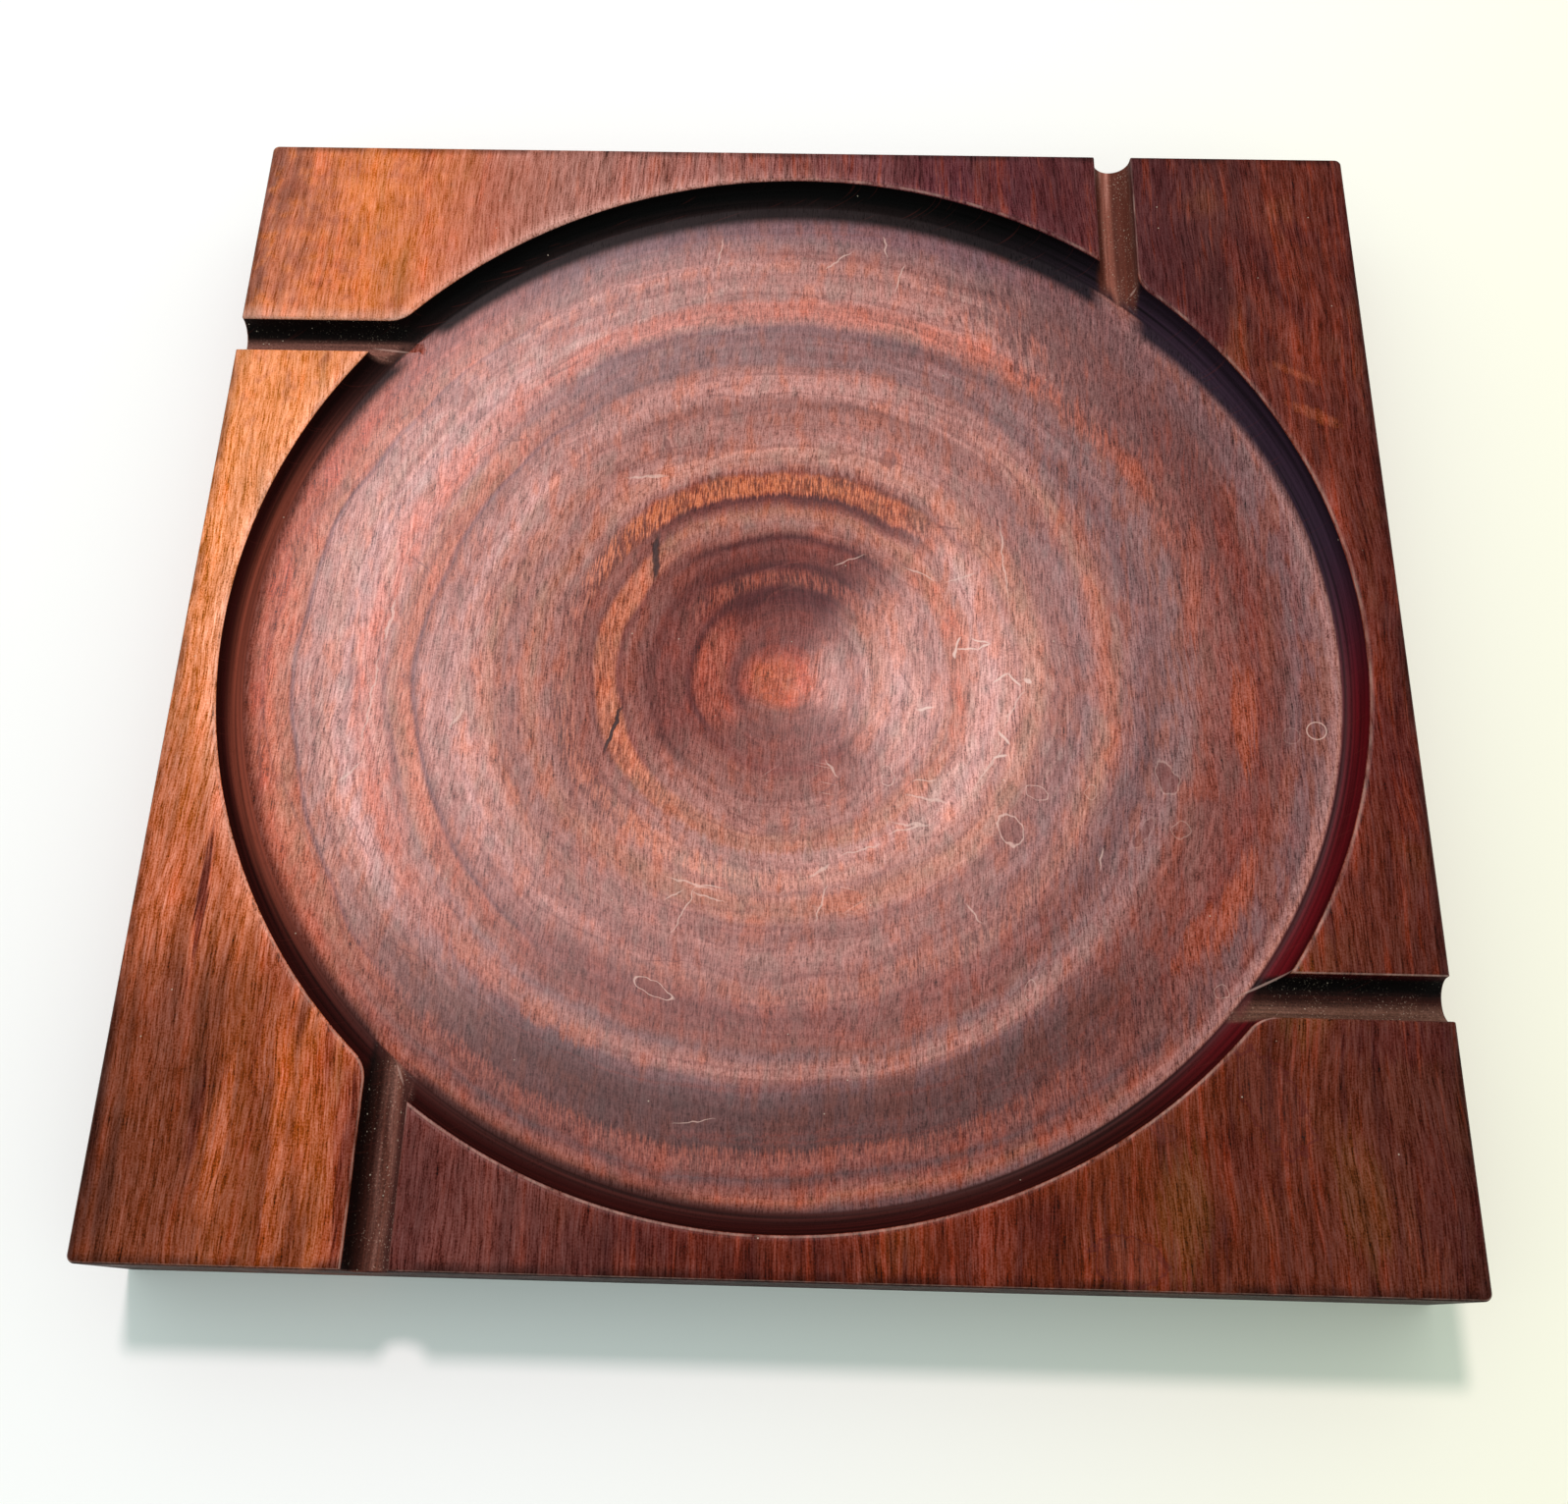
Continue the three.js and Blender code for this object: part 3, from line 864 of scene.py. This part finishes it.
        hue = self.mottle * 0.8 + self.soft(*HUE_PATCHES) * 0.9 - courses * 0.5 + streaky
        tone = self.mix(self.rise(hue, 0.0, 0.24), tone, WARM, "MULTIPLY")
        tone = self.mix(self.fall(hue, -0.26, -0.02), tone, COOL, "MULTIPLY")
        tuft = self.rise(self.fine * 0.9 + self.hair * 0.7 + self.mottle * 0.4, -0.07, 0.13)
        for start, end, strength, face_x, face_y, tint in BRISTLES:
            band = self.rise(ring, start - 0.6, start + 0.8) * self.fall(ring, end - 1.6, end + 0.4)
            band = band * self.toward(face_x, face_y, 0.35, 0.95) * strength
            tone = self.shade(tone, 1.0 - band * (1.0 - tuft) * 0.3)
            tone = self.mix(band * tuft, tone, tint)
        ragged = self.middle * 3.0 + self.fine * 2.2
        tone = self.tinted(tone, FLOOR_FLAMES, ragged)

        # Turning marks that follow the lathe, and pale wisps of wax along them, partly painted sheen where
        # the floor's sheen is strongest
        around = self.vector(self.radius / 0.8, self.x / 14, self.y / 14)
        turned = self.noise(around, 2.0) - 0.5
        wisp = self.noise(self.vector(self.radius / 2.4, self.x / 9, self.y / 9), 3.0)
        waxed_sheen = self.fall(abs(ring - WAXED_SHEEN_AT), 5, 15) * self.toward(*WAXED_SHEEN_SIDE) * 0.20
        smeared_sheen = self.fall(self.reach(self.x, self.y, *SHEEN_SMEAR), 0.2, 1.2) * 0.16
        tone = self.mix(self.rise(wisp, 0.5, 0.68) * self.math("MAXIMUM", waxed_sheen, smeared_sheen), tone, BLOOM_AND_HIGHLIGHT)

        # The floor's last millimetres: a painted highlight along the ridge on the right, a coral line, and
        # darkening toward the cove that is partly dirt and partly painted shade
        ridged = self.toward(*RIDGE_SIDE)
        ridge_highlight = self.fall(abs(self.radius - RIDGE_AT), 0.2, 1.7) * ridged
        coral_line = self.fall(abs(self.radius - CORAL_LINE_AT), 0.2, 0.7) * ridged
        tone = self.layered(tone, (ridge_highlight * 0.4, PINK), (coral_line * 0.6, SALMON))
        tone = self.mix(self.dirt_and_shade, tone, self.cove_foot())
        return self.shade(tone, 1.0 + turned * 0.45)

    def cove_foot(self):
        """The tone where the floor meets the cove: dark brown, browner on the left, with a painted
        reflection's violet at the back right and painted shade, black, at the back.
        """
        return self.layered(
            COVE_SOIL_AND_SHADE, (self.toward(*LEFT_SIDE), COVE_AMBER), (self.right, COVE_PLUM),
            (self.toward(*BACK_RIGHT_SIDE), COVE_REFLECTION_VIOLET), (self.back * 0.9, SHADE_AND_GRIME),
        )

    def flat_lands(self):
        """The flat top round the bowl, streaked along the grain, flamed, and mottled at the back left."""
        flame = self.soft(*FLAMES)
        sweep = (self.x + self.broad * 22 + flame * 22) / LAND_SPAN + 0.5
        lands = []
        for stops in (BACK_LANDS, FRONT_LANDS):
            lands.append(self.ramp(sweep, [(spot / LAND_SPAN + 0.5, tint) for spot, tint in stops]))
        land = self.mix(self.fall(self.y + self.broad * 30, -78, -40), *lands)
        left = self.fall(self.x + flame * 16, -108, -90) * self.rise(self.y, -84, -46)
        left = left * self.fall(self.y + flame * 20, 62, 88)
        left_land = self.mix(self.rise(self.y, -58, 34), HONEY, PEACH)
        figure = self.soft(*FIGURE)
        curly = self.fall(self.x, -104, -64) * self.rise(self.y, 30, 66)
        dark_side = self.rise(self.x, -70, 0)
        streak = self.middle + self.broad * 0.8
        land = self.layered(
            land, (left, left_land),
            (self.rise(figure, 0.0, 0.2) * curly * 0.5, AMBER),
            (self.fall(figure, -0.2, 0.0) * curly * 0.5, CLAY),
            (self.rise(flame, 0.04, 0.22) * dark_side * 0.38, OLIVE),
            (self.fall(flame, -0.22, -0.04) * dark_side * 0.45, MAROON),
            (self.rise(streak, 0.06, 0.26) * dark_side * 0.30, RUSSET),
            (self.fall(streak, -0.26, -0.06) * dark_side * 0.42, MAROON),
        )
        ragged = self.middle * 2.6 + self.fine * 2.0 + flame * 1.6
        land = self.tinted(land, LAND_FLAMES, ragged)
        hue = self.middle * (0.3 + dark_side) + self.broad * 0.9 + self.mottle * 0.7
        land = self.mix(self.rise(hue, 0.02, 0.34), land, WARM, "MULTIPLY")
        land = self.mix(self.fall(hue, -0.36, -0.02) * 0.7, land, COOL, "MULTIPLY")
        # Painted highlight: the top turns lighter toward the rim, with a pale sheen on the left.
        rim_highlight = self.fall(self.radius, 117.6, 121.0)
        land = self.shade(land, 1.0 + flame * 0.7 + self.broad * 0.8 + rim_highlight * 0.22)
        rim_sheen = rim_highlight * self.toward(*RIM_SHEEN_SIDE) * 0.26
        land = self.mix(rim_sheen * 0.7 + self.soft_highlight_band * 0.24, land, BLOOM_AND_HIGHLIGHT)
        grimy = self.rim_grime * self.rise(self.mottle + flame, -0.25, 0.15)
        return self.mix(grimy * 0.62, land, SHADE_AND_GRIME)

    def hollow_tone(self):
        """Layered brown of old wax and dirt in the cove, with painted shade that darkens its walls and
        turns them black at the back; groove beds dusty, with painted light and shade across them.
        """
        wall = self.layered(
            COVE_SHADE, (self.right, COVE_RED), (self.toward(*BACK_RIGHT_SIDE), COVE_REFLECTION_VIOLET),
            (self.back, SHADE_AND_GRIME),
        )
        # Painted shade: the dark wall tone reaches further down on the right, at the front and at the back.
        shaded = self.right * 0.9 + self.toward(*FRONT_SIDE) * 1.1 + self.back * 0.8
        cove = self.mix(self.rise(self.z + shaded, TOP_MM - 4.9, TOP_MM - 3.0), self.cove_foot(), wall)
        lines = self.noise(self.vector(self.radius / 0.5, self.x / 60, self.y / 60), 1.0)
        cove = self.shade(cove, lines * 2.6 - 0.3)

        # Each groove's bed is dusty, with painted light where light reaches it and painted shade, down to
        # black, toward the side that has none; the back groove is painted lighter and the left groove's lit
        # strip paler
        at_left, at_back, at_front = self.at_left, self.at_back, self.at_front
        away = self.off + at_left * 1.4 - at_back * 3.4 - at_front * 1.8 + self.broad * 1.2
        groove = self.layered(
            GROOVE_BROWN,
            (self.rise(self.broad + self.middle, -0.1, 0.2), GROOVE_DUST_AND_LIGHT),
            (self.at_right * 0.7, GROOVE_OLIVE),
            (self.fall(self.off, -0.8, 0.4) * at_back * 0.8, GROOVE_SHADE),
            (self.rise(self.off, 1.8, 3.0) * at_back * 0.85, GROOVE_SHADE),
            (self.fall(self.off, -2.8, -1.2) * at_front * 0.9, COVE_SOIL_AND_SHADE),
            (self.rise(away, -2.4, 0.8), GROOVE_SHADE),
            (self.rise(away, -0.6, 2.6), SHADE_AND_GRIME),
            (self.fall(self.off, 0.0, 2.2) * at_left * 0.9, GROOVE_DUST_AND_LIGHT),
        )
        run = self.mix(self.sideways, self.y, self.x)
        streaks = self.noise(self.vector(self.off / 0.42, run / 40, 5.0), 1.0) - 0.5
        groove = self.shade(groove, 1.0 + at_back * 1.15 + streaks * 1.5 + self.grit * 1.4)
        flakes = self.rise(self.grit + self.mottle * 0.35, 0.17, 0.24)
        groove = self.mix(flakes * (0.12 + self.fall(away, -2.0, 1.6) * 0.28), groove, DUST)
        return self.mix(self.lane * self.rise(self.radius + self.broad * 8, 111, 115.5), cove, groove)

    def marked(self, colour):
        """Scratches, wax, stains and splits."""
        wander = self.noise(self.vector(self.x / 2.6, self.y / 2.6, 3.0), 1.0) - 0.5
        wander_too = self.noise(self.vector(self.x / 2.6, self.y / 2.6, 9.0), 1.0) - 0.5
        plan_x = self.x + wander * 1.6
        plan_y = self.y + wander_too * 1.6
        shape = self.soft(*STAIN_EDGES)
        for cx, cy, turn, wide, long, pale, dark in STAINS:
            if wide == long:
                reach = self.reach(self.x, self.y, (cx, cy), turn, (wide, long)) ** 0.5
            else:
                reach = self.reach(plan_x, plan_y, (cx, cy), turn, (wide, long)) ** 0.5 + shape * 0.7
            if dark:
                colour = self.mix(self.fall(reach, 0.88, 1.0) * dark, colour, DARK)
            if pale:
                colour = self.mix(self.fall(abs(reach - 1.0), 0.02, 0.1) * pale * 0.7, colour, BLOOM_AND_HIGHLIGHT)
        for cx, cy, turn, wide, long in LAND_STAINS:
            reach = self.reach(plan_x, plan_y, (cx, cy), turn, (wide, long)) ** 0.5 + shape * 0.8
            colour = self.mix(self.fall(reach, 0.8, 1.0) * 0.07, colour, UMBER)
            colour = self.mix(self.fall(abs(reach - 1.0), 0.02, 0.07) * 0.5, colour, MAROON)
        rubbed = self.fall(self.reach(self.x, self.y, *RUB), 0.1, 1.0)
        patchy = self.rise(self.mottle, -0.02, 0.16)
        pale_hatch = self.math("MAXIMUM", self.hatch(-12, 7.7), self.hatch(38, 13.3))
        dark_hatch = self.hatch(24, 31.3)
        on_floor = 1.0 - self.high
        splits = self.strokes(plan_x, plan_y, SPLITS)
        colour = self.layered(
            colour,
            (pale_hatch * rubbed * patchy * on_floor * 0.34, BLOOM_AND_HIGHLIGHT), (dark_hatch * on_floor * 0.16, DARK),
            (self.strokes(plan_x, plan_y, PALE_SCRATCHES) * 0.5, BLOOM_AND_HIGHLIGHT),
            (self.strokes(plan_x, plan_y, WAX_CRUMBS) * 0.85, BLOOM_AND_HIGHLIGHT),
            (self.strokes(self.x, self.y, TIP_HIGHLIGHTS) * 0.28, BLOOM_AND_HIGHLIGHT),
            (self.strokes(plan_x, plan_y, DARK_SCRATCHES) * 0.5, DARK), (splits * 0.9, CRACK),
        )
        return colour, splits

    def dusted(self, colour):
        """Dust specks, thick in the grooves."""
        motes = self.node("ShaderNodeTexVoronoi", {}, {"Vector": self.spot, "Scale": 700.0})
        mote_colour = Flow(self, motes.socket.node.outputs["Color"])
        kind = self.node("ShaderNodeSeparateColor", {}, {0: mote_colour})
        share = 0.010 + self.hollow * self.lane * self.rise(self.radius, 116, 119) * 0.25
        mote = self.fall(motes, 0.05, 0.15) * self.math("LESS_THAN", kind, share)
        return self.mix(mote * 0.7, colour, DUST)

    def finished(self):
        """The wood with its colour, sheen and relief."""
        outer = self.math("MAXIMUM", self.high, self.outside)
        colour = self.mix(outer, self.growth_rings(), self.flat_lands())
        # Painted shade: the outer faces are darkened, as the front face lies away from the lamp.
        colour = self.shade(colour, 1.0 - self.outside * 0.58)
        fibres = self.fine * 0.8 + self.hair * 1.9 + self.grit * 1.2
        long_fibres = self.middle * 0.5 + self.fine * 1.5 + self.hair * 1.3 + self.grit * 0.9
        blotchy = self.fall(self.x, -80, -30) * self.rise(self.y, 10, 70)
        on_floor = (self.middle * 0.35 + fibres) * (1.06 - self.aim_y * self.aim_y * 0.2)
        fibres = on_floor + (long_fibres * 1.25 - on_floor) * self.high
        fibres = fibres * (1.0 - blotchy * self.high * 0.35)
        fibres = self.math("MINIMUM", fibres * 1.2, fibres * 0.7)
        colour = self.shade(colour, 1.035 + fibres, 1.0 - fibres * 0.28)
        colour = self.shade(colour, 1.0 - self.pores * 0.22)
        colour = self.mix(self.hollow * 0.99, colour, self.hollow_tone())
        colour, splits = self.marked(colour)

        # The edges of the rim and the grooves, rubbed pale, with a painted highlight line on them
        on_lip = self.rise(self.z, TOP_MM - 0.48, TOP_MM - 0.36)
        on_lip = on_lip * self.fall(self.z, TOP_MM - 0.20, TOP_MM - 0.08)
        on_lip = on_lip * (1.0 - self.unhighlighted_edge * 0.85) * (1.0 - self.outside)
        uneven = self.rise(self.mottle + self.aim_y * -0.08, -0.12, 0.12)
        colour = self.mix(on_lip * (0.06 + uneven * 0.2 + self.middle * 0.4), colour, BLOOM_AND_HIGHLIGHT)
        colour = self.dusted(colour)

        # Relief of the fibres, the pores and the splits
        height = self.fine * 0.045 + self.hair * 0.03 - self.pores * 0.05 + self.middle * 0.03
        height = height + self.soft(*HOLLOWS) * 0.08 - splits * 0.5
        values = {"Strength": 1.0, "Distance": MM, "Height": height}
        normal = self.node("ShaderNodeBump", {}, values)

        # A soft oily sheen, dulled in the hollows, at the darkened foot of the cove, near the outer edge
        # and on the flat top
        rough = 0.50 + self.mottle * 0.3 + self.fine * 0.2 + self.pores * 0.15 + self.hollow * 0.15
        open_wood = (1.0 - self.hollow * 0.85) * (1.0 - self.high * 0.7) * (1.0 - self.dirt_and_shade * 0.85)
        open_wood = open_wood * (1.0 - self.rim_grime * 0.8)
        coat = (0.13 + self.mottle * 0.10 + self.fine * 0.12) * open_wood
        self.feed(Base_Color=colour, Roughness=rough, Normal=normal, Coat_Weight=coat)
        self.feed(Specular_IOR_Level=0.05, Coat_Roughness=0.24)
        return self.material


# The stage

# The table top: how wide it is, how far it lies below the tray, and its colours
FLOOR_SIZE = 6.0
FLOOR_GAP = 0.1 * MM
TABLE_PALE = (0.985, 0.995, 0.978, 1.0)
TABLE_WARM = (0.99, 0.98, 0.78, 1.0)

# The camera, as the photograph was taken, from the top face's centre
PHOTO_WIDTH = 1597
FOCAL_PIXELS = 1539.2
SENSOR_WIDTH = 36.0
CAMERA_FROM_TOP = Vector((0.0202, -0.534, 1.118)) * SIDE
CAMERA_RIGHT = Vector((1.000, 0.026, -0.010))
CAMERA_FORWARD = Vector((-0.019, 0.360, -0.933))

# A soft lamp above the back edge, and a pale room
LAMP_TOWARD = Vector((-0.105, 0.432, 0.896)).normalized()
LAMP_DISTANCE = 2.2
LAMP_SIZE = 0.28
LAMP_POWER = 21.8
LAMP_COLOUR = (1.0, 0.80, 0.84)
ROOM_COLOUR = (0.905, 1.038, 1.005, 1)
ROOM_LEVEL = 0.69


def table_paint():
    """Plain pale table top, a little warmer toward the right."""
    table = Finish("table")
    x, y, z = table.split(table.spot)
    warm = table.rise(x * 0.95 - y * 0.2, -0.03, 0.24)
    table.feed(Base_Color=table.mix(warm, TABLE_PALE, TABLE_WARM), Roughness=0.6, Specular_IOR_Level=0.1)
    return table.material


def make_camera():
    """The camera, at the photograph's place and angle."""
    data = bpy.data.cameras.new("camera")
    data.sensor_width = SENSOR_WIDTH
    data.lens = FOCAL_PIXELS / PHOTO_WIDTH * SENSOR_WIDTH
    data.clip_start = 0.01
    camera = bpy.data.objects.new("camera", data)
    bpy.context.scene.collection.objects.link(camera)
    back = -CAMERA_FORWARD.normalized()
    up = back.cross(CAMERA_RIGHT).normalized()
    right = up.cross(back)
    turn = Matrix((right, up, back)).transposed().to_4x4()
    camera.matrix_world = Matrix.Translation(CAMERA_FROM_TOP + Vector((0, 0, TOP))) @ turn
    bpy.context.scene.camera = camera
    return camera


def make_floor():
    """The table top, just below the tray's underside."""
    bpy.ops.object.select_all(action="DESELECT")
    bpy.ops.mesh.primitive_plane_add(size=FLOOR_SIZE, location=(0, 0, -FLOOR_GAP))
    floor = bpy.context.object
    floor.name = "table_top"
    settle(floor)
    floor.data.materials.append(table_paint())
    return floor


def make_lights():
    """The lamp, aimed at the tray, and the room's even light."""
    data = bpy.data.lights.new("key", "AREA")
    data.shape = "DISK"
    data.size = LAMP_SIZE
    data.energy = LAMP_POWER
    data.color = LAMP_COLOUR
    key = bpy.data.objects.new("key", data)
    key.location = LAMP_TOWARD * LAMP_DISTANCE
    key.rotation_mode = "QUATERNION"
    key.rotation_quaternion = LAMP_TOWARD.to_track_quat("Z", "Y")
    bpy.context.scene.collection.objects.link(key)
    world = bpy.data.worlds.new("room")
    world.use_nodes = True
    room = world.node_tree.nodes["Background"].inputs
    room["Color"].default_value = ROOM_COLOUR
    room["Strength"].default_value = ROOM_LEVEL
    bpy.context.scene.world = world


tray = make_tray()
tray.data.materials.append(Hardwood().finished())
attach(tray, "root")
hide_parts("tray")

make_floor()
make_lights()
make_camera()
bpy.context.scene.view_settings.view_transform = "Standard"
